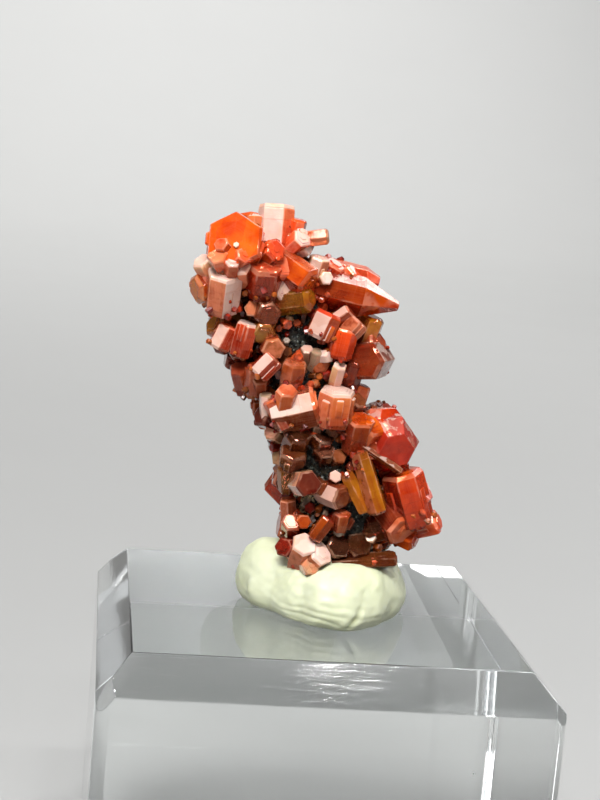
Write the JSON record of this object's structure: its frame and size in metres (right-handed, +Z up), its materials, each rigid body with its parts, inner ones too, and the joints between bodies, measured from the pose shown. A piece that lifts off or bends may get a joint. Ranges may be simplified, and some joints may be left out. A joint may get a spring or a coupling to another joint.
{
  "type": "vanadinite specimen on a display block",
  "caption": "Vanadinite: intergrown orange-red hexagonal crystals on a dark rock core, held upright by pale tack on a clear bevelled acrylic block.",
  "frame": {"origin": "centre of the block's underside", "axes": "+Z up along the specimen, the pictured front faces -Y, the crystals' overhang points to +X below and to -X above"},
  "size_m": [0.03, 0.03, 0.0481],
  "materials": {
    "acrylic": "clear, polished",
    "tack": "matte, kneaded",
    "matrix": "dark, rough, sparkling",
    "vanadinite_crown": "glassy to resinous",
    "vanadinite_blade": "glassy to resinous",
    "vanadinite_flank": "glassy to resinous",
    "vanadinite_waist": "glassy to resinous",
    "vanadinite_girdle": "glassy to resinous",
    "vanadinite_shoulder": "glassy to resinous",
    "vanadinite_foot": "glassy to resinous",
    "vanadinite_back": "glassy to resinous"
  },
  "bodies": {
    "root": {"acrylic_block": "acrylic", "mineral_tack": "tack", "matrix": "matrix", "crown_cluster": "vanadinite_crown", "blade_cluster": "vanadinite_blade", "flank_cluster": "vanadinite_flank", "waist_cluster": "vanadinite_waist", "girdle_cluster": "vanadinite_girdle", "shoulder_cluster": "vanadinite_shoulder", "foot_cluster": "vanadinite_foot", "back_upper_cluster": "vanadinite_back", "back_lower_cluster": "vanadinite_back"}
  },
  "joints": []
}
